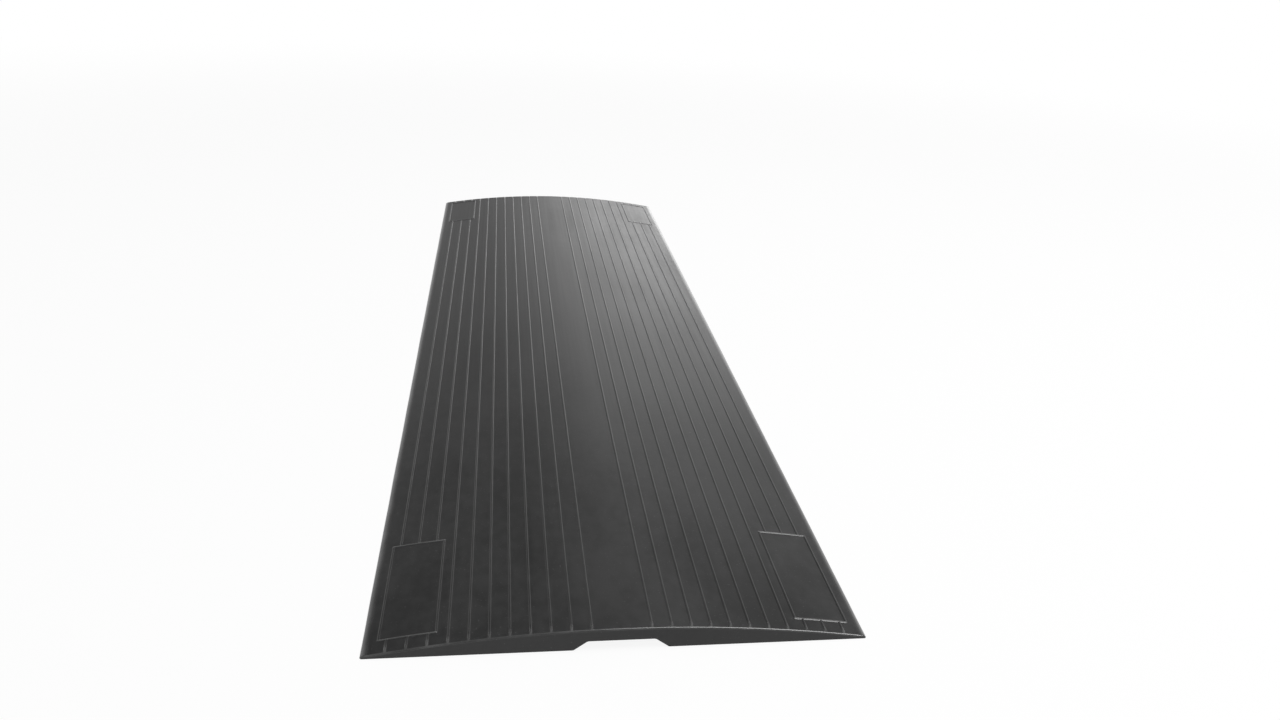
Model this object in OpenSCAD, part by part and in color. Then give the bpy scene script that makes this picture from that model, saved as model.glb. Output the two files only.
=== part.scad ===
// Threshold ramp: a domed rubber moulding with a channel underneath, held down by strips of tape.
// X runs across the ramp, Y along the doorway and Z up.
// The origin is on the floor, under the middle of the ramp.

/* [Ramp body] */
// Length along the doorway
ramp_length = 840; // [400:10:1200]
// Width from thin edge to thin edge
ramp_width = 254; // [220:1:300]
// Height of the crown above the floor
ramp_height = 12; // [11:0.5:18]
// Radius that rounds the tread into the end faces
rim_radius = 1; // [0.4:0.1:1.2]

/* [Thin edges] */
// Height at which the dome would meet the thin edges if they were not rounded
edge_thickness = 1.2; // [0.8:0.1:2]
// Thickness that the rounding leaves at the very edge
edge_tip = 0.4; // [0.2:0.05:0.6]
// How far the rounding reaches in from the edge
edge_round_width = 3; // [2:0.5:6]
// Radius of the rounding
edge_round_radius = 7; // [6:0.5:12]

/* [Tread ribs] */
// Plain band along the crown, from the first rib on one side to the first on the other
band_width = 30; // [20:1:50]
// Step from one rib to the next
rib_pitch = 10; // [8:0.5:14]
// Width of a rib at its foot
rib_width = 1.4; // [1:0.1:2]
// Width of a rib's flat top
rib_top_width = 0.7; // [0.3:0.1:0.9]
// Height of a rib above the tread
rib_height = 0.35; // [0.25:0.05:1]
// Length over which a rib comes down to the tread at the ends of the ramp
rib_run_out = 1.6; // [0.8:0.1:3]
// Plain strip between the ends of the ribs and the rounded rim
rim_land = 0.2; // [0.1:0.1:2]
// Least plain margin between the last rib and the thin edge
edge_margin = 12; // [10:1:20]

/* [Corner frames] */
// Width of a bare field framed by ribs, centred on the last tread rib but one
frame_width = 28; // [14:1:30]
// Length of a framed field
frame_length = 80; // [40:5:150]
// Distance from the end face to a frame
frame_end_margin = 10; // [5:1:30]
// How much lower the ribs across a frame are, so that the tops of the long ribs run through
frame_step = 0.05; // [0.02:0.01:0.1]

/* [Threshold channel] */
// Width of the channel at the floor
channel_base_width = 48; // [40:1:60]
// Width of the channel's flat roof
channel_roof_width = 34; // [24:1:38]
// Depth of the channel
channel_depth = 5.2; // [3:0.1:7]
// Radius in the channel's roof corners
roof_corner_radius = 3; // [1:0.5:6]

/* [Fixing tape] */
// Width of a tape strip
tape_width = 25; // [12:1:30]
// Thickness of a tape strip, which lies flush in its recess
tape_thickness = 0.8; // [0.4:0.1:1]
// Distance from the end face to the end of a strip
tape_end_margin = 20; // [5:1:60]
// Distance from the channel to the inner strip
tape_inner_margin = 10; // [6:1:16]
// Distance from the outer strip to the thin edge
tape_outer_margin = 16; // [12:1:25]
// Gap between a strip and the walls of its recess
tape_clearance = 0.3; // [0.1:0.1:1]

/* [Hidden] */

rubber_black = "#2a2a2b";
tape_white = "#dcd9cf";

// Facets of the rim's round and of the wide dome, and steps of an arc in an outline
$fn = 64;
dome_fn = 1440;
arc_steps = 8;
// Spare length by which a cut runs clear of the faces that it opens
over = 2;
// How far the ribs are rooted in the dome
rib_root = 0.6;
left = -1;
right = 1;

half_width = ramp_width / 2;
half_length = ramp_length / 2;
cut_length = ramp_length + 2 * over;

// The dome's arc runs from the top of one thin edge over the crown to the other
rise = ramp_height - edge_thickness;
dome_radius = (half_width ^ 2 + rise ^ 2) / (2 * rise);
dome_z = ramp_height - dome_radius;
// The revolved arc is half as wide again as the ramp, which is then cut out of it
dome_sweep = 3 * asin(half_width / dome_radius);

// A thin edge is rounded by an arc from the dome down to the tip
edge_start = [half_width - edge_round_width, dome_height(half_width - edge_round_width)];
edge_end = [half_width, edge_tip];

rib_xs = [for (x = [band_width / 2 : rib_pitch : half_width - edge_margin]) x];
rib_end = half_length - rim_radius;
frame_x = rib_xs[len(rib_xs) - 2];
frame_y = half_length - frame_end_margin - frame_length / 2;
frame_near = frame_y - frame_length / 2;
frame_far = frame_y + frame_length / 2;

channel_wall_angle = atan2(channel_depth, (channel_base_width - channel_roof_width) / 2);

tape_length = ramp_length - 2 * tape_end_margin;
tape_inner_x = channel_base_width / 2 + tape_inner_margin + tape_width / 2;
tape_outer_x = half_width - tape_outer_margin - tape_width / 2;

// Height of the bare dome above the floor at x
function dome_height(x) = dome_z + sqrt(dome_radius ^ 2 - x ^ 2);

// Whether a tread rib at x would cross the framed fields
function is_framed(x) = abs(x - frame_x) < frame_width / 2;

// Points along an arc, in even steps
function arc(centre, radius, from, to) = [
    for (i = [0 : arc_steps])
        let (angle = from + (to - from) * i / arc_steps)
        centre + radius * [cos(angle), sin(angle)]
];

// Points of an arc of a given radius that bulges up and to the right between two points
function arc_between(start, end, radius) =
    let (chord = end - start)
    let (normal = [chord.y, -chord.x] / norm(chord))
    let (centre = (start + end) / 2 + normal * sqrt(radius ^ 2 - (norm(chord) / 2) ^ 2))
    let (from = start - centre)
    let (to = end - centre)
    arc(centre, radius, atan2(from.y, from.x), atan2(to.y, to.x));

// The points of an outline's right side, followed by their mirror image on the left
function both_halves(points) = concat(
    points,
    [for (i = [len(points) - 1 : -1 : 0]) [-points[i].x, points[i].y]]
);

// A section in X and Z, drawn out along Y from one place to another
module along(from, to) {
    translate([0, (from + to) / 2, 0])
        rotate([90, 0, 0])
            linear_extrude(to - from, center = true)
                children();
}

// The same shape on the right side and, mirrored, on the left
module both_sides() {
    children();
    mirror([1, 0, 0])
        children();
}

// The same shape at the far end and, mirrored, at the near end
module both_ends() {
    children();
    mirror([0, 1, 0])
        children();
}

// Moves a section to the tread above x, with its upward direction square to the dome
module on_dome(x) {
    translate([0, dome_z])
        rotate(-asin(x / dome_radius))
            translate([0, dome_radius])
                children();
}

// Turns a section about the dome's axis, over an angle that is centred above x.
// The section has the distance from the axis across and the length of the ramp upwards.
module round_dome(x, sweep) {
    translate([0, 0, dome_z])
        rotate([90, 0, 0])
            rotate(90 - asin(x / dome_radius) - sweep / 2)
                rotate_extrude(angle = sweep, $fn = dome_fn)
                    children();
}

// Section of the revolved dome, with its rims rounded
module dome_section() {
    depth = ramp_height + over;
    translate([dome_radius - depth, -half_length])
        square([depth - rim_radius, ramp_length]);
    translate([dome_radius - depth, rim_radius - half_length])
        square([depth, ramp_length - 2 * rim_radius]);
    for (end = [-1, 1])
        translate([dome_radius - rim_radius, end * (half_length - rim_radius)])
            circle(rim_radius);
}

// What the rounding takes off the right thin edge
module edge_section() {
    outside = half_width + over;
    polygon(concat(
        arc_between(edge_start, edge_end, edge_round_radius),
        [[outside, edge_end.y], [outside, ramp_height], [edge_start.x, ramp_height]]
    ));
}

// A rib with sloping flanks and a flat top, rooted below the tread
module rib_section() {
    slope = (rib_width - rib_top_width) / 2 / rib_height;
    foot = rib_width / 2 + slope * rib_root;
    top = rib_top_width / 2;
    polygon([[-foot, -rib_root], [foot, -rib_root], [top, rib_height], [-top, rib_height]]);
}

// A rib along the ramp above x, from one place to another
module rib(x, from, to) {
    along(from, to)
        on_dome(x)
            rib_section();
}

// A rib across the framed fields at y, of even height above the dome
module cross_rib(y) {
    round_dome(frame_x, 2 * asin(frame_width / 2 / dome_radius))
        translate([dome_radius - frame_step, -y])
            rotate(-90)
                rib_section();
}

// The four ribs round one framed field
module corner_frame() {
    // The ribs along the ramp end half-way down the outer flanks of the ribs across it
    corner = (rib_width + rib_top_width) / 4;
    for (reach = [-1, 1])
        rib(frame_x + reach * frame_width / 2, frame_near - corner, frame_far + corner);
    for (y = [frame_near, frame_far])
        cross_rib(y);
}

// What slopes the ends of the ribs down to the tread at the end of the ramp
module run_out_section() {
    foot = [dome_radius, rib_end - rim_land];
    // The slope goes on past the top and the foot of a rib
    reach = 2 * rib_height;
    run = 2 * rib_run_out;
    polygon([foot + [-reach, run], foot + [reach, -run], foot + [reach, run]]);
}

// The threshold channel, open at the floor, with rounded roof corners
module channel_section() {
    slope = channel_wall_angle;
    mouth = channel_base_width / 2 + over / tan(slope);
    corner = [
        channel_roof_width / 2 - roof_corner_radius * tan(slope / 2),
        channel_depth - roof_corner_radius
    ];
    polygon(both_halves(concat(
        [[mouth, -over]],
        arc(corner, roof_corner_radius, 90 - slope, 90)
    )));
}

// A flat strip centred at x, from a bottom up to the top of the tape, made larger all round by a margin
module floor_strip(x, margin, bottom) {
    width = tape_width + 2 * margin;
    length = tape_length + 2 * margin;
    translate([x - width / 2, -length / 2, bottom])
        cube([width, length, tape_thickness - bottom]);
}

// The dome down to the floor and out to both rounded edges, before anything is cut into it
module plain_ramp() {
    difference() {
        intersection() {
            round_dome(0, dome_sweep)
                dome_section();
            translate([-half_width, -half_length - over, 0])
                cube([ramp_width, cut_length, ramp_height + over]);
        }
        both_sides()
            along(-cut_length / 2, cut_length / 2)
                edge_section();
    }
}

// The ribs along the tread, which stop at the frames and slope down at both ends of the ramp
module tread_ribs() {
    difference() {
        for (side = [left, right], x = rib_xs)
            if (is_framed(x)) {
                rib(side * x, -frame_near, frame_near);
                both_ends()
                    rib(side * x, frame_far, rib_end);
            } else
                rib(side * x, -rib_end, rib_end);
        both_ends()
            round_dome(0, dome_sweep)
                run_out_section();
    }
}

// The dome with everything that stands on it
module ribbed_ramp() {
    plain_ramp();
    tread_ribs();
    both_sides()
        both_ends()
            corner_frame();
}

module ramp_body() {
    color(rubber_black)
        difference() {
            ribbed_ramp();
            both_sides()
                for (x = [tape_inner_x, tape_outer_x])
                    floor_strip(x, tape_clearance, -over);
            along(-cut_length / 2, cut_length / 2)
                channel_section();
        }
}

module fixing_tape(side, x) {
    color(tape_white)
        floor_strip(side * x, 0, 0);
}

ramp_body();
fixing_tape(left, tape_inner_x);  // tape_left_inner
fixing_tape(left, tape_outer_x);  // tape_left_outer
fixing_tape(right, tape_inner_x);  // tape_right_inner
fixing_tape(right, tape_outer_x);  // tape_right_outer
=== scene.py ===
"""A rubber threshold ramp: a domed, ribbed moulding that strips of double-sided tape hold to the floor.

X runs across the ramp, Y along it and Z up, in metres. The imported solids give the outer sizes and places.
"""

import logging
import math
from collections.abc import Iterable, Mapping, Sequence
from dataclasses import dataclass, field
from enum import Enum
from typing import Any, Union

import bmesh
import bpy
from mathutils import Euler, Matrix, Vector, noise


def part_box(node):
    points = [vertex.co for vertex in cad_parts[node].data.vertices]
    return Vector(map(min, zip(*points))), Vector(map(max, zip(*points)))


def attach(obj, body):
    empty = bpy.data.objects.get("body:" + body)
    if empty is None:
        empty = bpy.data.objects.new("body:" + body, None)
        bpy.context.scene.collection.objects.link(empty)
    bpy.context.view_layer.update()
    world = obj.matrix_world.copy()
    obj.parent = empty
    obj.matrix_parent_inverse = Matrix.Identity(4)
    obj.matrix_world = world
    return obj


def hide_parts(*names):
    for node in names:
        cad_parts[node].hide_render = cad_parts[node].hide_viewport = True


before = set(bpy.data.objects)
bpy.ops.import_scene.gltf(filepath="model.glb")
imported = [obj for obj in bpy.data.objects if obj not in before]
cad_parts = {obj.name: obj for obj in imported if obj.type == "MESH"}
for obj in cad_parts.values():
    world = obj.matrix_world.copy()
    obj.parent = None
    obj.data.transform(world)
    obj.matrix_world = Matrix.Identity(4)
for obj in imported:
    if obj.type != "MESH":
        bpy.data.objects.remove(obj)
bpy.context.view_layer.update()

LOG = logging.getLogger("threshold_ramp")
MM = 0.001
BODY = "root"

# How far one pattern of smooth noise lies from the next
PATTERN_STEP = 17.3
# Decimals of a metre that tell two marks apart, and the slack in counting the steps between them
MARK_DECIMALS = 7
STEP_SLACK = 1e-6

Mesh = bmesh.types.BMesh
Vert = bmesh.types.BMVert
Socket = bpy.types.NodeSocket
Colour = tuple[float, float, float, float]
Triple = tuple[float, float, float]
Pair = tuple[float, float]
Operand = Union["Value", float]


class Side(Enum):
    """The two sides of the crown, as the sign of X."""

    LEFT = -1
    RIGHT = 1


class Mask(Enum):
    """The masks, from 0 to 1 at each point, that a mesh hands to its finish."""

    RIB = "rib_mask"
    # Rubbed shiny, with a lighter colour that is partly a painted highlight
    POLISH_AND_HIGHLIGHT = "polish_and_highlight_mask"
    # The end faces: painted darker as painted shade, and made duller
    END = "end_shade_and_dull_mask"


class Slot(Enum):
    """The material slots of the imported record."""

    RUBBER = "rubber"
    TAPE = "fixing_tape"


def grey(level: float) -> Colour:
    """A neutral colour of one linear level."""
    return (level, level, level, 1.0)


WHITE = grey(1.0)


def ease(share: float) -> float:
    """A smooth step from 0 to 1, flat at both ends."""
    share = min(1.0, max(0.0, share))
    return share * share * (3.0 - 2.0 * share)


def ripple(place: Pair, scale: Pair, seed: int = 0) -> float:
    """Smooth noise, the same on every run.

    Args:
        place: Two coordinates.
        scale: How many ripples a unit of each coordinate holds.
        seed: Picks the pattern.

    Returns:
        The noise at that place, from about 0 to 1.
    """
    where = Vector((place[0] * scale[0], place[1] * scale[1], PATTERN_STEP * seed))
    return 0.5 + 0.5 * noise.noise(where)


def both_signs(values: Iterable[float]) -> list[float]:
    """Every value and its mirror image."""
    return [sign * value for value in values for sign in (-1, 1)]


def even_steps(start: float, end: float, count: int) -> list[float]:
    """Places that divide a stretch into even steps, with both of its ends."""
    return [start + (end - start) * i / count for i in range(count + 1)]


def stations(marks: Iterable[float], step: float) -> list[float]:
    """Fill the stretches between marks with even steps.

    Args:
        marks: Places that have to be kept.
        step: The widest step that is allowed.

    Returns:
        All the places in rising order.
    """
    kept = sorted({round(mark, MARK_DECIMALS) for mark in marks})
    filled = kept[:1]
    for start, end in zip(kept, kept[1:]):
        count = max(1, math.ceil((end - start) / step - STEP_SLACK))
        filled += even_steps(start, end, count)[1:]
    return filled


class Value:
    """A number that varies over a surface: an output socket that takes part in Python arithmetic."""

    def __init__(self, graph: "Graph", socket: Socket) -> None:
        """Keep the graph that the socket belongs to."""
        self.graph = graph
        self.socket = socket

    def _math(self, operation: str, first: Operand, second: Operand) -> "Value":
        """Add one Math node.

        Args:
            operation: The Math node's operation.
            first: Its first operand.
            second: Its second operand.

        Returns:
            The node's result.
        """
        made = self.graph.node("ShaderNodeMath", {"operation": operation}, {0: first, 1: second})
        return Value(self.graph, made.outputs[0])

    def __add__(self, other: Operand) -> "Value":
        """self + other"""
        return self._math("ADD", self, other)

    def __radd__(self, other: Operand) -> "Value":
        """other + self"""
        return self._math("ADD", other, self)

    def __sub__(self, other: Operand) -> "Value":
        """self - other"""
        return self._math("SUBTRACT", self, other)

    def __rsub__(self, other: Operand) -> "Value":
        """other - self"""
        return self._math("SUBTRACT", other, self)

    def __mul__(self, other: Operand) -> "Value":
        """self * other"""
        return self._math("MULTIPLY", self, other)

    def __rmul__(self, other: Operand) -> "Value":
        """other * self"""
        return self._math("MULTIPLY", other, self)

    def larger(self, other: Operand) -> "Value":
        """The larger of two values."""
        return self._math("MAXIMUM", self, other)

    def swing(self) -> "Value":
        """Noise from 0 to 1 as a swing about 0."""
        return self - 0.5

    def blend(self, other: "Value", share: float) -> "Value":
        """A mean in which this value has a share and the other one the rest."""
        return self * share + other * (1 - share)

    def between(self, low: float, high: float) -> "Value":
        """Ease from 0 at low to 1 at high.

        Args:
            low: The value that becomes 0.
            high: The value that becomes 1.

        Returns:
            The eased value, held between 0 and 1.
        """
        made = self.graph.node(
            "ShaderNodeMapRange",
            {"interpolation_type": "SMOOTHSTEP"},
            {"Value": self, "From Min": low, "From Max": high},
        )
        return Value(self.graph, made.outputs[0])


@dataclass(frozen=True)
class Pattern:
    """Noise over an object: how many units a metre holds along X, Y and Z, and the noise's octaves."""

    stretch: Triple
    detail: float


class Graph:
    """The nodes of one material or of the world."""

    def __init__(self, tree: bpy.types.NodeTree) -> None:
        """Start from an empty tree."""
        self.tree = tree
        tree.nodes.clear()

    def node(
        self,
        kind: str,
        settings: Mapping[str, Any] | None = None,
        sockets: Mapping[str | int, Any] | None = None,
    ) -> bpy.types.Node:
        """Add any node.

        Args:
            kind: The node's type.
            settings: Its properties, which are set first. "stops" holds a ramp's places and colours.
            sockets: The value or link of each input, by name or number.

        Returns:
            The new node.
        """
        made = self.tree.nodes.new(kind)
        for name, value in (settings or {}).items():
            if name == "stops":
                self._set_stops(made.color_ramp, value)
            else:
                setattr(made, name, value)
        for key, value in (sockets or {}).items():
            if isinstance(value, Value):
                self.tree.links.new(value.socket, made.inputs[key])
            elif isinstance(value, Socket):
                self.tree.links.new(value, made.inputs[key])
            else:
                made.inputs[key].default_value = value
        return made

    @staticmethod
    def _set_stops(ramp: bpy.types.ColorRamp, stops: Sequence[tuple[float, Colour]]) -> None:
        """Give a ramp its stops.

        Args:
            ramp: The ramp, which starts with two stops.
            stops: The place and colour of each stop, in rising order.
        """
        while len(ramp.elements) < len(stops):
            ramp.elements.new(1.0)
        for element, (place, colour) in zip(ramp.elements, stops):
            element.position = place
            element.color = colour

    def place(self, stretch: Triple) -> Socket:
        """The place on the object, stretched.

        Args:
            stretch: How many pattern units a metre holds along X, Y and Z.

        Returns:
            The vector's socket.
        """
        where = self.node("ShaderNodeTexCoord")
        scaled = self.node(
            "ShaderNodeVectorMath",
            {"operation": "MULTIPLY"},
            {0: where.outputs["Object"], 1: stretch},
        )
        return scaled.outputs[0]

    def noise(self, pattern: Pattern) -> Value:
        """Noise over the object.

        Args:
            pattern: The noise's scale and octaves.

        Returns:
            Noise from 0 to 1.
        """
        made = self.node(
            "ShaderNodeTexNoise",
            {"noise_dimensions": "3D"},
            {"Vector": self.place(pattern.stretch), "Scale": 1.0, "Detail": pattern.detail},
        )
        return Value(self, made.outputs[0])

    def mask(self, which: Mask) -> Value:
        """A mask that the mesh carries."""
        made = self.node("ShaderNodeAttribute", {"attribute_name": which.value})
        return Value(self, made.outputs["Fac"])

    def mix(self, share: Operand, first: Colour | Socket, second: Colour | Socket) -> Socket:
        """Mix two colours.

        Args:
            share: How much of the second colour shows.
            first: A colour or a colour socket.
            second: A colour or a colour socket.

        Returns:
            The mixed colour's socket.
        """
        made = self.node("ShaderNodeMix", {"data_type": "RGBA"}, {0: share, 6: first, 7: second})
        return made.outputs[2]

    def bump(self, height: Value, depth: float) -> Socket:
        """Turn heights into normals.

        Args:
            height: The height, from 0 to 1.
            depth: What a height of 1 stands for, in metres.

        Returns:
            The normal's socket.
        """
        made = self.node("ShaderNodeBump", {}, {"Strength": 1.0, "Distance": depth, "Height": height})
        return made.outputs[0]

    def surface(self, sockets: Mapping[str, Any]) -> None:
        """Close a material with one Principled shader.

        Args:
            sockets: The values and links of the shader.
        """
        shader = self.node("ShaderNodeBsdfPrincipled", {}, sockets)
        self.node("ShaderNodeOutputMaterial", {}, {"Surface": shader.outputs[0]})


def new_material(name: str) -> tuple[bpy.types.Material, Graph]:
    """Make an empty material.

    Args:
        name: The material's name.

    Returns:
        The material and the graph of its nodes.
    """
    made = bpy.data.materials.new(name)
    made.use_nodes = True
    return made, Graph(made.node_tree)


@dataclass(frozen=True)
class RubberFinish:
    """Satin black moulded rubber.

    It is cloudy and finely grained, dusty, scuffed on its ribs and rubbed shiny at its edges and rims.
    The lighter colour there is partly scuffing and partly a painted highlight. Its end faces are painted
    darker as painted shade.
    """

    # Colours of the rubber, of the bloom that clouds it, of dust, and of scuffs, which on rims and edges
    # also paint highlights
    deep: Colour = grey(0.010)
    bloom: Colour = grey(0.022)
    dust: Colour = grey(0.070)
    scuff_and_highlight: Colour = grey(0.090)

    # Patterns, and the noise at which bloom, specks and patches start and are full
    clouds: Pattern = Pattern((16, 9, 16), 3)
    mottle: Pattern = Pattern((190, 130, 190), 3)
    bloom_limits: Pair = (0.34, 0.66)
    specks: Pattern = Pattern((1100, 900, 1100), 0)
    speck_limits: Pair = (0.76, 0.82)
    patches: Pattern = Pattern((60, 45, 60), 4)
    patch_limits: Pair = (0.42, 0.68)
    streaks: Pattern = Pattern((420, 5, 420), 2)
    grain: Pattern = Pattern((2600, 2600, 2600), 2)
    peel: Pattern = Pattern((380, 300, 380), 1)

    # Shares of the clouds and the grain in their blends, and of dust, scuffs and painted highlights in the
    # colour
    cloud_share: float = 0.6
    grain_share: float = 0.3
    speck_share: float = 0.5
    rib_scuff: float = 0.1
    rub_scuff_and_highlight: float = 0.45
    rub_patches_and_highlight: float = 0.5

    # Roughness, its swings, and what rubbing takes off it and the end faces add
    roughness: float = 0.34
    cloud_swing: float = 0.20
    streak_swing: float = 0.10
    smoothing: float = 0.20
    dulling: float = 0.15

    # Gloss of the rubber and of what is rubbed shiny
    refraction: float = 1.5
    shine: float = 0.6
    shine_roughness: float = 0.25
    grain_depth: float = 0.016 * MM

    def material(self) -> bpy.types.Material:
        """Build the material.

        Returns:
            The rubber's material.
        """
        made, graph = new_material("satin_black_rubber")
        rib = graph.mask(Mask.RIB)
        rubbed_and_highlit = graph.mask(Mask.POLISH_AND_HIGHLIGHT)
        ends_shaded_and_dull = graph.mask(Mask.END)
        shade = graph.noise(self.clouds).blend(graph.noise(self.mottle), self.cloud_share)
        streaks = graph.noise(self.streaks)
        specks = graph.noise(self.specks).between(*self.speck_limits)
        patches = graph.noise(self.patches).between(*self.patch_limits)
        height = graph.noise(self.grain).blend(graph.noise(self.peel), self.grain_share)

        # The end faces get no bloom and keep the deep colour: painted shade that darkens them
        tint = graph.mix(shade.between(*self.bloom_limits) * (1 - ends_shaded_and_dull), self.deep, self.bloom)
        tint = graph.mix(rib * patches * self.rib_scuff, tint, self.scuff_and_highlight)
        # Rubbed rims, edges, cross ribs and rib ends get a lighter colour: partly scuffing, partly a
        # painted highlight
        tint = graph.mix(rubbed_and_highlit * (self.rub_scuff_and_highlight + patches * self.rub_patches_and_highlight), tint, self.scuff_and_highlight)
        tint = graph.mix(specks * self.speck_share, tint, self.dust)
        rough = self.roughness + shade.swing() * self.cloud_swing + streaks.swing() * self.streak_swing
        graph.surface(
            {
                "Base Color": tint,
                "Roughness": rough - rubbed_and_highlit * self.smoothing + ends_shaded_and_dull * self.dulling,
                "IOR": self.refraction,
                "Coat Weight": rubbed_and_highlit * self.shine,
                "Coat Roughness": self.shine_roughness,
                "Normal": graph.bump(height, self.grain_depth),
            }
        )
        return made


@dataclass(frozen=True)
class TapeFinish:
    """Double-sided foam tape: off-white foam under a tacky film that holds a few air bubbles."""

    # Colours of the film, of the foam where it shows through, and of air bubbles
    film: Colour = (0.72, 0.69, 0.60, 1.0)
    foam: Colour = (0.80, 0.79, 0.74, 1.0)
    bubble: Colour = (0.86, 0.85, 0.81, 1.0)

    # Patterns, and the noise at which foam and bubbles start and are full
    drift: Pattern = Pattern((70, 26, 70), 3)
    drift_limits: Pair = (0.3, 0.7)
    bubbles: Pattern = Pattern((240, 200, 240), 1)
    bubble_limits: Pair = (0.68, 0.74)
    bubble_share: float = 0.6
    cells: Pattern = Pattern((1500, 1500, 1500), 2)
    cell_share: float = 0.6
    cell_depth: float = 0.03 * MM

    # Roughness, its swing over the foam's cells, and what a bubble takes off it
    roughness: float = 0.46
    cell_swing: float = 0.2
    smoothing: float = 0.12

    def material(self) -> bpy.types.Material:
        """Build the material.

        Returns:
            The tape's material.
        """
        made, graph = new_material("foam_tape")
        cells = graph.noise(self.cells)
        drift = graph.noise(self.drift).between(*self.drift_limits)
        bubbles = graph.noise(self.bubbles).between(*self.bubble_limits)
        tint = graph.mix(drift, self.film, self.foam)
        tint = graph.mix(bubbles * self.bubble_share, tint, self.bubble)
        graph.surface(
            {
                "Base Color": tint,
                "Roughness": self.roughness + cells.swing() * self.cell_swing - bubbles * self.smoothing,
                "Normal": graph.bump(cells.blend(bubbles, self.cell_share), self.cell_depth),
            }
        )
        return made


@dataclass(frozen=True)
class FloorFinish:
    """A plain white floor that keeps the shadow of what stands on it and is lost in white further away."""

    # The glow is the share of plain white near the ramp, which grows to 1 over the fade
    paint: Colour = grey(0.86)
    glow: float = 0.90
    fade: Pair = (0.8, 2.2)

    def material(self) -> bpy.types.Material:
        """Build the material.

        Returns:
            The floor's material.
        """
        made, graph = new_material("white_floor")
        rays = graph.node("ShaderNodeLightPath")
        seen = Value(graph, rays.outputs["Is Camera Ray"])
        for kind in ("Is Glossy Ray", "Is Transmission Ray"):
            seen = seen.larger(Value(graph, rays.outputs[kind]))
        away = graph.node("ShaderNodeVectorMath", {"operation": "LENGTH"}, {0: graph.place((1, 1, 1))})
        fade = Value(graph, away.outputs["Value"]).between(*self.fade)
        paint = graph.node("ShaderNodeBsdfDiffuse", {}, {"Color": self.paint})
        light = graph.node("ShaderNodeEmission", {}, {"Color": WHITE, "Strength": 1.0})
        both = graph.node(
            "ShaderNodeMixShader",
            {},
            {0: seen * (self.glow + fade * (1 - self.glow)), 1: paint.outputs[0], 2: light.outputs[0]},
        )
        graph.node("ShaderNodeOutputMaterial", {}, {"Surface": both.outputs[0]})
        return made


def add_object(name: str, mesh: Mesh, material: bpy.types.Material) -> bpy.types.Object:
    """Turn a finished mesh into a shown object.

    Args:
        name: The object's name.
        mesh: The mesh, which is freed.
        material: Its only material.

    Returns:
        The new object.
    """
    bmesh.ops.recalc_face_normals(mesh, faces=mesh.faces)
    data = bpy.data.meshes.new(name)
    mesh.to_mesh(data)
    mesh.free()
    data.materials.append(material)
    made = bpy.data.objects.new(name, data)
    bpy.context.scene.collection.objects.link(made)
    return made


def grid_faces(mesh: Mesh, rows: Sequence[Sequence[Vert]]) -> None:
    """Fill the cells of a grid with smooth quads.

    Args:
        mesh: The mesh that holds the points.
        rows: The points, row by row.
    """
    for near, far in zip(rows, rows[1:]):
        for i in range(len(near) - 1):
            mesh.faces.new((near[i], near[i + 1], far[i + 1], far[i])).smooth = True


def zip_chains(
    mesh: Mesh,
    first: Sequence[tuple[float, Vert]],
    second: Sequence[tuple[float, Vert]],
) -> None:
    """Join two chains of points by a strip of triangles.

    Args:
        mesh: The mesh that holds the points.
        first: One chain, each point with its place along the strip.
        second: The other chain, in the same direction.
    """
    i = j = 0
    while i < len(first) - 1 or j < len(second) - 1:
        first_is_next = i < len(first) - 1 and (
            j == len(second) - 1 or first[i + 1][0] <= second[j + 1][0]
        )
        if first_is_next:
            mesh.faces.new((first[i][1], first[i + 1][1], second[j][1]))
            i += 1
        else:
            mesh.faces.new((first[i][1], second[j + 1][1], second[j][1]))
            j += 1


def crease(mesh: Mesh, limit: float) -> None:
    """Keep folds that are sharper than a limit as clean edges.

    Args:
        mesh: The whole mesh.
        limit: The angle, in radians.
    """
    mesh.normal_update()
    for edge in mesh.edges:
        if len(edge.link_faces) == 2 and edge.calc_face_angle() > limit:
            edge.smooth = False


def hang(piece: bpy.types.Object, node: str) -> None:
    """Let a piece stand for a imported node.

    Args:
        piece: The piece, already in place.
        node: The node that it replaces.
    """
    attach(piece, BODY)
    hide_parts(node)
    LOG.info("%s stands for %s, %d faces", piece.name, node, len(piece.data.polygons))


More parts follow.
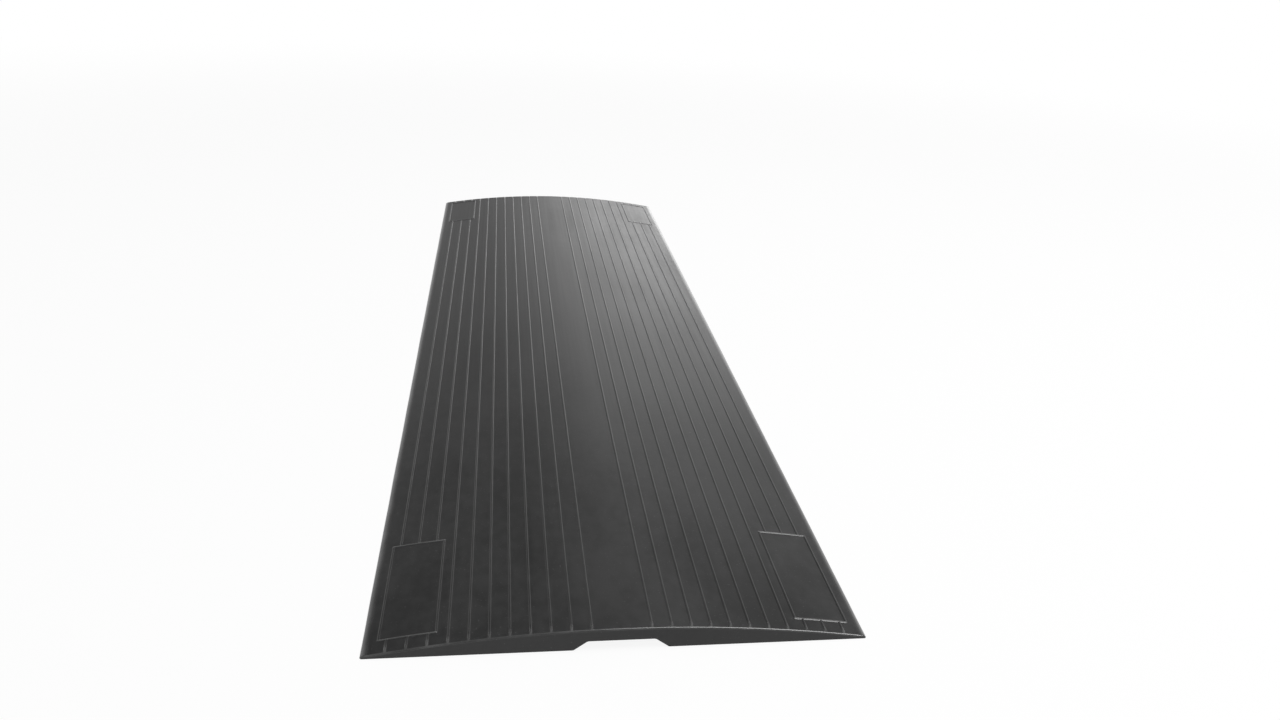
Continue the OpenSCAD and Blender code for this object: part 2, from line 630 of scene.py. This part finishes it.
@dataclass
class FixingTape:
    """Four strips of double-sided foam tape, flush in recesses under the wings."""

    names: tuple[str, ...] = ("tape_left_outer", "tape_left_inner", "tape_right_inner", "tape_right_outer")
    # Gap between a strip and the walls of its recess
    clearance: float = 0.3 * MM

    # Rounded corners, broken edges, and how far the long cuts wander and how often in a metre
    corner: float = 1.2 * MM
    corner_steps: int = 5
    bevel: float = 0.12 * MM
    wander: float = 0.10 * MM
    wander_scale: Pair = (40.0, 90.0)

    # Widest step along a strip
    step: float = 8.0 * MM
    finish: TapeFinish = TapeFinish()

    def boxes(self) -> list[tuple[Vector, Vector]]:
        """The lowest and highest corner of each strip."""
        return [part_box(name) for name in self.names]

    def _outline(self, low: Vector, high: Vector, seed: int) -> list[Vector]:
        """The strip's outline, seen from above.

        Args:
            low: The strip's lowest corner.
            high: Its highest corner.
            seed: Picks the pattern of the cut edges.

        Returns:
            Points anticlockwise from the right side.
        """
        half = (high - low) / 2
        middle = (high + low) / 2
        inner_x = half.x - self.corner
        inner_y = half.y - self.corner
        edge = [Vector((half.x, y, 0)) for y in stations((-inner_y, inner_y), self.step)[1:-1]]
        corner = [
            Vector((inner_x + self.corner * math.cos(a), inner_y + self.corner * math.sin(a), 0))
            for a in even_steps(0.0, math.pi / 2, self.corner_steps)
        ]
        points = edge + corner
        points += [Vector((-p.x, p.y, 0)) for p in reversed(corner)]
        points += [Vector((-p.x, -p.y, 0)) for p in edge + corner]
        points += [Vector((p.x, -p.y, 0)) for p in reversed(corner)]
        for p in points:
            cut = self.wander * ripple((p.y, p.x), self.wander_scale, seed)
            p.x -= math.copysign(cut, p.x)
        return [middle.xy.to_3d() + p for p in points]

    def _strip(self, low: Vector, high: Vector, seed: int) -> Mesh:
        """Model one strip.

        Args:
            low: The strip's lowest corner.
            high: Its highest corner.
            seed: Picks the pattern of its cut edges.

        Returns:
            The strip's closed mesh.
        """
        mesh = bmesh.new()
        outline = self._outline(low, high, seed)
        middle_x = (low.x + high.x) / 2
        levels = (
            (low.z, self.bevel),
            (low.z + self.bevel, 0.0),
            (high.z - self.bevel, 0.0),
            (high.z, self.bevel),
        )
        rings = [
            [mesh.verts.new((p.x - math.copysign(inset, p.x - middle_x), p.y, z)) for p in outline]
            for z, inset in levels
        ]
        for lower, upper in zip(rings, rings[1:]):
            for i in range(len(lower)):
                k = (i + 1) % len(lower)
                mesh.faces.new((lower[i], lower[k], upper[k], upper[i]))
        mesh.faces.new(rings[-1])
        mesh.faces.new(rings[0][::-1])
        bmesh.ops.triangulate(mesh, faces=[f for f in mesh.faces if len(f.verts) > 4])
        return mesh

    def build(self) -> None:
        """Make and hang every strip."""
        material = self.finish.material()
        for seed, (name, (low, high)) in enumerate(zip(self.names, self.boxes()), 1):
            piece = add_object(f"{name}_strip", self._strip(low, high, seed), material)
            hang(piece, name)


@dataclass(frozen=True)
class Rib:
    """A rib along the tread."""

    x: float
    stretches: tuple[Pair, ...]

    def stands(self, y: float) -> bool:
        """Whether the rib stands at a place along the ramp."""
        return any(start <= y <= end for start, end in self.stretches)


@dataclass(frozen=True)
class Row:
    """A row of the tread: its place along the ramp, and its turn over an end rim from 0 to 1."""

    y: float
    turn: float = 0.0


@dataclass
class RampBody:
    """The rubber moulding: a shallow dome with a ribbed tread, framed corner fields and a channel below."""

    # Crown and end rims, which take no more than a share of the height where the dome is thin
    node: str = "ramp_body"
    crown: float = 12.0 * MM
    rim_radius: float = 1.0 * MM
    rim_share: float = 0.45
    rim_steps: int = 6

    # Thin long edges
    edge_thickness: float = 1.2 * MM
    edge_tip: float = 0.4 * MM
    edge_round_width: float = 3.0 * MM
    edge_round_radius: float = 7.0 * MM
    edge_steps: int = 6
    tip_steps: int = 5

    # How far a thin edge is rubbed shiny and painted lighter as a highlight, and how far its trimming
    # wanders and how often in a metre
    edge_rub_and_highlight: float = 4.6 * MM
    edge_rub_and_highlight_steps: int = 2
    trim_wander: float = 0.22 * MM
    trim_scale: Pair = (30.0, 1.0)
    trim_seed: int = 5

    # Ribs, whose top and foot are measured from the middle of the rib
    band_width: float = 30.0 * MM
    rib_pitch: float = 10.0 * MM
    ribs_per_side: int = 11
    rib_height: float = 0.35 * MM
    rib_top: float = 0.24 * MM
    rib_foot: float = 0.74 * MM
    rib_steps: int = 4
    shoulder: float = 0.20 * MM

    # Ends of the ribs, which slope down and are rubbed shiny and painted lighter as a highlight
    rib_run_out: float = 1.6 * MM
    run_out_steps: int = 4
    rim_land: float = 0.2 * MM
    rib_end_rub_and_highlight: float = 5.0 * MM

    # Framed corner fields
    frame_width: float = 28.0 * MM
    frame_length: float = 80.0 * MM
    frame_end_margin: float = 10.0 * MM

    # Channel
    channel_base_width: float = 48.0 * MM
    channel_roof_width: float = 34.0 * MM
    channel_depth: float = 5.2 * MM
    channel_corner: float = 3.0 * MM
    channel_lip: float = 1.2 * MM
    channel_steps: int = 6

    # Most that wear takes off a rib as a share of its height, and how often in a metre
    wear: float = 0.28
    wear_scale: Pair = (55.0, 100.0)

    # Most that the tread heaves, how often in a metre, and the height from which it does so in full
    heave: float = 0.10 * MM
    heave_scale: Pair = (14.0, 9.0)
    heave_seed: int = 3
    heave_height: float = 4.0 * MM

    # Widest steps of the tread and the underside, and the slope of a recess's walls
    tread_step: float = 4.5 * MM
    row_step: float = 6.0 * MM
    floor_step: float = 40.0 * MM
    floor_margin: float = 4.0 * MM
    recess_wall: float = 0.1 * MM
    crease_angle: float = math.radians(40)

    tape: FixingTape = field(default_factory=FixingTape)
    finish: RubberFinish = RubberFinish()

    def __post_init__(self) -> None:
        """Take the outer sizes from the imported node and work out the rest."""
        low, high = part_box(self.node)
        self.half_width = (high.x - low.x) / 2
        self.half_length = (high.y - low.y) / 2
        rise = self.crown - self.edge_thickness
        self.dome_radius = (self.half_width**2 + rise**2) / (2 * rise)
        self.edge_start = self.half_width - self.edge_round_width
        self.tip_x = self.half_width - self.edge_tip / 2
        self.rim_start = self.half_length - self.rim_radius
        self.rib_end = self.rim_start - self.rim_land
        self.frame_far = self.half_length - self.frame_end_margin
        self.frame_near = self.frame_far - self.frame_length
        first = self.band_width / 2
        places = [first + self.rib_pitch * i for i in range(self.ribs_per_side)]
        self.frame_x = places[-2]
        self.ribs = [self._rib(side.value * x) for side in Side for x in places]
        self.columns = self._columns()
        self.nearest = [min(self.ribs, key=lambda rib: abs(rib.x - x)) for x in self.columns]

    def _rib(self, x: float) -> Rib:
        """One rib, whole or broken by the framed fields.

        Args:
            x: Its place across the ramp.

        Returns:
            The rib.
        """
        near, far, end = self.frame_near, self.frame_far, self.rib_end
        if abs(abs(x) - self.frame_x) < self.frame_width / 2:
            return Rib(x, ((-end, -far), (-near, near), (far, end)))
        return Rib(x, ((-end, end),))

    def dome(self, x: float) -> float:
        """Height of the bare dome above the floor at x."""
        return self.crown - self.dome_radius + math.sqrt(self.dome_radius**2 - x**2)

    def skin(self, x: float) -> float:
        """Height of the dome at x, with its thin edges rounded.

        Args:
            x: Place across the ramp.

        Returns:
            The height above the floor.
        """
        away = abs(x) - self.edge_start
        if away <= 0:
            return self.dome(x)
        start = Vector((0.0, self.dome(self.edge_start)))
        chord = Vector((self.edge_round_width, self.edge_tip)) - start
        inward = Vector((chord.y, -chord.x)).normalized()
        deep = math.sqrt(self.edge_round_radius**2 - chord.length_squared / 4)
        centre = start + chord / 2 + inward * deep
        return centre.y + math.sqrt(self.edge_round_radius**2 - (away - centre.x) ** 2)

    def rib_share(self, away: float) -> float:
        """Height of a rib's section: 1 on its top, 0 on the tread."""
        return ease((self.rib_foot - away) / (self.rib_foot - self.rib_top))

    def frame_shares(self, x: float, y: float) -> Pair:
        """Heights of the ribs round the nearest frame.

        Args:
            x: Place across the ramp.
            y: Place along the ramp.

        Returns:
            The height of the whole frame and that of its two ribs across the ramp, as shares.
        """
        out_x = abs(abs(x) - self.frame_x) - self.frame_width / 2
        out_y = abs(abs(y) - (self.frame_near + self.frame_far) / 2) - self.frame_length / 2
        across = self.rib_share(math.hypot(max(out_x, 0.0), out_y))
        if max(out_x, out_y) < 0:
            return self.rib_share(-max(out_x, out_y)), across
        return self.rib_share(math.hypot(max(out_x, 0.0), max(out_y, 0.0))), across

    def tread(self, column: int, y: float) -> tuple[float, dict[Mask, float]]:
        """The finished tread at one point.

        Args:
            column: The point's column.
            y: Its place along the ramp.

        Returns:
            Its height, and its masks.
        """
        x, rib = self.columns[column], self.nearest[column]
        away = abs(x - rib.x)
        share, across = self.frame_shares(x, y)
        if rib.stands(y):
            run_out = min(1.0, (self.rib_end - abs(y)) / self.rib_run_out)
            share = max(share, run_out * self.rib_share(away))
        height = self.rib_height * (1.0 - self.wear * ripple((y, rib.x), self.wear_scale))
        skin = self.skin(x)
        sag = self.heave * ripple((x, y), self.heave_scale, self.heave_seed)
        sag *= min(1.0, skin / self.heave_height)
        edge = ease(1.0 - (self.half_width - abs(x)) / self.edge_rub_and_highlight)
        rib_end = ease(1.0 - (self.rim_start - abs(y)) / self.rib_end_rub_and_highlight)
        rib_end *= self.rib_share(away - self.shoulder)
        # The polish mask is partly rubbing and partly painted highlight: lighter colour on the frames'
        # cross ribs, the thin edges and the rib ends
        masks = {Mask.RIB: share, Mask.POLISH_AND_HIGHLIGHT: max(across, edge, rib_end)}
        return skin + share * height - sag, masks

    def _rib_marks(self) -> list[float]:
        """Offsets from the middle of a rib at which its section needs points."""
        flank = even_steps(self.rib_top, self.rib_foot, self.rib_steps)
        return both_signs(flank + [self.rib_foot + self.shoulder])

    def _columns(self) -> list[float]:
        """Places across the tread, close together at ribs and at the thin edges.

        Returns:
            The places from left to right.
        """
        reach = self.frame_width / 2
        lines = [rib.x for rib in self.ribs] + both_signs((self.frame_x - reach, self.frame_x + reach))
        marks = [x + away for x in lines for away in self._rib_marks()]
        rubbed_and_highlit = even_steps(self.half_width - self.edge_rub_and_highlight, self.edge_start, self.edge_rub_and_highlight_steps)
        rounded = even_steps(self.edge_start, self.tip_x, self.edge_steps)
        return stations(marks + both_signs(rubbed_and_highlit + rounded), self.tread_step)

    def _rows(self) -> list[Row]:
        """The rows of the tread, close together at ribs across it and at the rims.

        Returns:
            The rows from the near end to the far end.
        """
        slope_start = self.rib_end - self.rib_run_out
        marks = even_steps(slope_start, self.rib_end, self.run_out_steps)
        marks += [slope_start - self.shoulder, self.rim_start - self.rib_end_rub_and_highlight, self.rim_start]
        marks += [y + away for y in (self.frame_near, self.frame_far) for away in self._rib_marks()]
        rim = [
            Row(self.rim_start + self.rim_radius * math.sin(turn * math.pi / 2), turn)
            for turn in even_steps(0.0, 1.0, self.rim_steps)[1:]
        ]
        middle = [Row(y) for y in stations(both_signs(marks), self.row_step)]
        return [Row(-row.y, row.turn) for row in reversed(rim)] + middle + rim

    def _point(self, mesh: Mesh, row: Row, x: float, z: float, masks: Mapping[Mask, float]) -> Vert:
        """Add a point, trimmed at a thin edge and lowered where its row turns over a rim.

        Args:
            mesh: The mesh that takes the point.
            row: The point's row.
            x: Its place across the ramp, before the trimming.
            z: Its height, before the turn.
            masks: Its masks, before the turn.

        Returns:
            The new point.
        """
        side = Side.LEFT if x < 0 else Side.RIGHT
        trim = self.trim_wander * ripple((row.y, side.value), self.trim_scale, self.trim_seed)
        near_edge = max(0.0, (abs(x) - self.edge_start) / self.edge_round_width)
        drop = 1.0 - math.cos(row.turn * math.pi / 2)
        inward = near_edge * (trim + drop * self.rim_radius)
        down = drop * min(self.rim_radius, self.rim_share * z)
        vert = mesh.verts.new((x - side.value * inward, row.y, z - down))
        # Halfway round a rim the mask peaks: a painted highlight along the rim, besides its rubbing
        polish_and_highlight = max(masks[Mask.POLISH_AND_HIGHLIGHT] * (1.0 - row.turn), math.sin(row.turn * math.pi))
        for mask, share in {**masks, Mask.POLISH_AND_HIGHLIGHT: polish_and_highlight}.items():
            vert[mesh.verts.layers.float[mask.value]] = share
        return vert

    def _tip(self, mesh: Mesh, row: Row, side: Side) -> list[Vert]:
        """Add the points round a thin edge.

        Args:
            mesh: The mesh that takes the points.
            row: The points' row.
            side: The edge's side.

        Returns:
            The points from the edge's top to the floor.
        """
        radius = self.edge_tip / 2
        points = []
        for angle in even_steps(0.0, math.pi, self.tip_steps)[1:]:
            x = side.value * (self.tip_x + radius * math.sin(angle))
            z = radius * (1 + math.cos(angle))
            # Each tip is fully rubbed shiny and painted lighter as a highlight
            points.append(self._point(mesh, row, x, z, {Mask.POLISH_AND_HIGHLIGHT: 1.0}))
        return points

    def _top_row(self, mesh: Mesh, row: Row) -> list[Vert]:
        """Add one row of points, from under the left thin edge over the tread to under the right one.

        Args:
            mesh: The mesh that takes the points.
            row: The row.

        Returns:
            The row's points.
        """
        inside_y = max(-self.rim_start, min(self.rim_start, row.y))
        tread = [
            self._point(mesh, row, x, *self.tread(column, inside_y))
            for column, x in enumerate(self.columns)
        ]
        left = self._tip(mesh, row, Side.LEFT)
        right = self._tip(mesh, row, Side.RIGHT)
        return left[::-1] + tread + right

    def _channel_half(self) -> list[Pair]:
        """The right half of the channel's outline.

        Returns:
            Points in X and Z, from the lip at the floor to the roof.
        """
        base = self.channel_base_width / 2
        roof = self.channel_roof_width / 2
        slope = math.atan2(self.channel_depth, base - roof)
        reach = math.tan(slope / 2)
        lip_x = base + self.channel_lip * reach
        corner_x = roof - self.channel_corner * reach
        turns = even_steps(0.0, slope, self.channel_steps)
        lip = [
            (lip_x - self.channel_lip * math.sin(a), self.channel_lip * (1 - math.cos(a)))
            for a in turns
        ]
        corner = [
            (
                corner_x + self.channel_corner * math.sin(a),
                self.channel_depth - self.channel_corner * (1 - math.cos(a)),
            )
            for a in reversed(turns)
        ]
        return lip + corner

    def _floor_columns(self) -> list[tuple[float, float, bool]]:
        """The columns of the underside.

        Returns:
            Each column's place across, its height, and whether it is the roof of a tape recess.
        """
        lift = self.tape.boxes()[0][1].z
        columns = [(x, 0.0, False) for x in both_signs([self.half_width - self.floor_margin])]
        columns += [(side.value * x, z, False) for x, z in self._channel_half() for side in Side]
        columns.append((0.0, self.channel_depth, False))
        for low, high in self.tape.boxes():
            start = low.x - self.tape.clearance
            end = high.x + self.tape.clearance
            roof = (start + self.recess_wall, end - self.recess_wall)
            columns += [(start, 0.0, False), (end, 0.0, False)]
            columns += [(x, lift, True) for x in stations(roof, self.tape.step)]
        return sorted(columns)

    def _floor_rows(self) -> list[tuple[float, bool]]:
        """The rows of the underside.

        Returns:
            Each row's place along the ramp, and whether the tape recesses reach it.
        """
        end = self.tape.boxes()[0][1].y + self.tape.clearance
        roof = end - self.recess_wall
        rows = [(y, False) for y in both_signs((self.half_length, end))]
        rows += [(y, True) for y in stations((-roof, roof), self.floor_step)]
        return sorted(rows)

    def _underside(self, mesh: Mesh) -> list[list[Vert]]:
        """Add the points of the underside.

        Args:
            mesh: The mesh that takes the points.

        Returns:
            The points, row by row from the near end to the far end.
        """
        columns = self._floor_columns()
        return [
            [mesh.verts.new((x, y, z if reached or not recessed else 0.0)) for x, z, recessed in columns]
            for y, reached in self._floor_rows()
        ]

    def _close(self, mesh: Mesh, top: Sequence[Sequence[Vert]], under: Sequence[Sequence[Vert]]) -> None:
        """Join the tread and the underside at both ends and along both thin edges.

        Args:
            mesh: The mesh that holds the points.
            top: The rows of the tread.
            under: The rows of the underside.
        """
        outside = [math.inf] * self.tip_steps
        keys = [-key for key in outside] + self.columns + outside
        for end in (0, -1):
            zip_chains(mesh, list(zip(keys, top[end])), [(v.co.x, v) for v in under[end]])
            zip_chains(
                mesh,
                [(row[end].co.y, row[end]) for row in top],
                [(row[end].co.y, row[end]) for row in under],
            )

    @staticmethod
    def _mark_ends(mesh: Mesh, rows: Sequence[Sequence[Vert]]) -> None:
        """Mark the first and the last row as the rims of the end faces, which are painted darker as painted
        shade and made duller.

        Args:
            mesh: The mesh that holds the points.
            rows: The rows of the tread or of the underside.
        """
        layer = mesh.verts.layers.float[Mask.END.value]
        for vert in (*rows[0], *rows[-1]):
            vert[layer] = 1.0

    def build(self) -> None:
        """Make and hang the moulding."""
        mesh = bmesh.new()
        for mask in Mask:
            mesh.verts.layers.float.new(mask.value)
        top = [self._top_row(mesh, row) for row in self._rows()]
        under = self._underside(mesh)
        for rows in (top, under):
            grid_faces(mesh, rows)
            self._mark_ends(mesh, rows)
        self._close(mesh, top, under)
        crease(mesh, self.crease_angle)
        piece = add_object("rubber_moulding", mesh, self.finish.material())
        hang(piece, self.node)


@dataclass
class Studio:
    """A white floor, soft light from above and the sides, and the camera."""

    # The floor lies a little under the ramp, so that their faces don't coincide
    floor_size: float = 40.0
    floor_drop: float = 0.2 * MM
    finish: FloorFinish = FloorFinish()

    # The camera's place, its turn in degrees, and its picture in pixels
    camera_place: Triple = (-58.6 * MM, -814.4 * MM, 330.4 * MM)
    camera_turn: Triple = (66.44, -3.04, -7.25)
    focal_pixels: float = 1000.0
    picture_width: float = 1280.0
    sensor_width: float = 36.0

    # Places across the sky, as a direction's X, and bands of it, each with its height as a
    # direction's Z and the level at each of those places
    sky_places: tuple[float, ...] = (-0.32, -0.04, 0.18, 0.34, 0.52)
    sky_bands: tuple[tuple[float, tuple[float, ...]], ...] = (
        (0.26, (0.70, 0.46, 3.00, 1.70, 0.80)),
        (0.36, (0.54, 0.26, 1.10, 0.46, 0.40)),
        (0.46, (0.28, 0.18, 0.26, 0.34, 0.28)),
        (0.64, (0.18, 0.17, 0.26, 0.36, 0.28)),
        (0.90, (0.36, 0.44, 0.65, 0.80, 0.80)),
    )

    # The sky on the camera's side, and the directions' Y over which it changes
    front_sky: Colour = grey(0.22)
    front_change: Pair = (-0.40, 0.10)

    # The soft lamp's place, size and brightness
    key_place: Triple = (1.00, -0.60, 1.90)
    key_size: Pair = (1.4, 1.6)
    key_level: float = 5.9

    def camera(self) -> None:
        """Set the camera at the picture's viewpoint."""
        data = bpy.data.cameras.new("camera")
        data.sensor_width = self.sensor_width
        data.lens = self.sensor_width * self.focal_pixels / self.picture_width
        made = bpy.data.objects.new("camera", data)
        made.location = self.camera_place
        made.rotation_euler = Euler([math.radians(a) for a in self.camera_turn])
        bpy.context.scene.collection.objects.link(made)
        bpy.context.scene.camera = made

    def floor(self) -> None:
        """Lay the floor just under the ramp."""
        mesh = bmesh.new()
        bmesh.ops.create_grid(mesh, x_segments=1, y_segments=1, size=self.floor_size / 2)
        made = add_object("floor", mesh, self.finish.material())
        made.location.z = -self.floor_drop

    def key_light(self) -> None:
        """Hang a soft lamp, high on the right, that faces the ramp."""
        width, height = self.key_size
        data = bpy.data.lights.new("key_light", "AREA")
        data.shape = "RECTANGLE"
        data.size, data.size_y = width, height
        data.energy = self.key_level * math.pi * width * height
        made = bpy.data.objects.new("key_light", data)
        made.location = self.key_place
        made.rotation_euler = (-Vector(self.key_place)).to_track_quat("-Z", "Y").to_euler()
        made.visible_camera = False
        bpy.context.scene.collection.objects.link(made)

    def _sky_band(self, graph: Graph, across: Value, levels: Sequence[float]) -> Socket:
        """The sky at one height, from left to right.

        Args:
            graph: The world's nodes.
            across: The direction's X.
            levels: The level at each of the sky's places.

        Returns:
            The colour's socket.
        """
        stops = tuple((0.5 + x / 2, grey(level)) for x, level in zip(self.sky_places, levels))
        made = graph.node("ShaderNodeValToRGB", {"stops": stops}, {0: 0.5 + across * 0.5})
        return made.outputs[0]

    def sky(self) -> None:
        """Surround the ramp with soft light, brightest low on the right beyond the ramp's far end."""
        world = bpy.data.worlds.new("studio")
        world.use_nodes = True
        bpy.context.scene.world = world
        graph = Graph(world.node_tree)
        where = graph.node("ShaderNodeTexCoord")
        parts = graph.node("ShaderNodeSeparateXYZ", {}, {0: where.outputs["Generated"]})
        across, along, up = (Value(graph, parts.outputs[axis]) for axis in "XYZ")
        heights = [height for height, _ in self.sky_bands]
        bands = [self._sky_band(graph, across, levels) for _, levels in self.sky_bands]
        tint = bands[0]
        for low, high, band in zip(heights, heights[1:], bands[1:]):
            tint = graph.mix(up.between(low, high), tint, band)
        tint = graph.mix(along.between(*self.front_change), self.front_sky, tint)
        rays = graph.node("ShaderNodeLightPath")
        tint = graph.mix(Value(graph, rays.outputs["Is Camera Ray"]), tint, WHITE)
        light = graph.node("ShaderNodeBackground", {}, {"Color": tint, "Strength": 1.0})
        graph.node("ShaderNodeOutputWorld", {}, {"Surface": light.outputs[0]})

    def build(self) -> None:
        """Set up the camera, the floor and the light."""
        self.camera()
        self.floor()
        self.sky()
        self.key_light()
        bpy.context.scene.view_settings.view_transform = "Standard"
        LOG.info("studio is set")


def main() -> None:
    """Build the studio and every piece of the ramp."""
    logging.basicConfig(level=logging.INFO, format="%(message)s")
    Studio().build()
    tape = FixingTape()
    RampBody(tape=tape).build()
    tape.build()


if __name__ == "__main__":
    main()
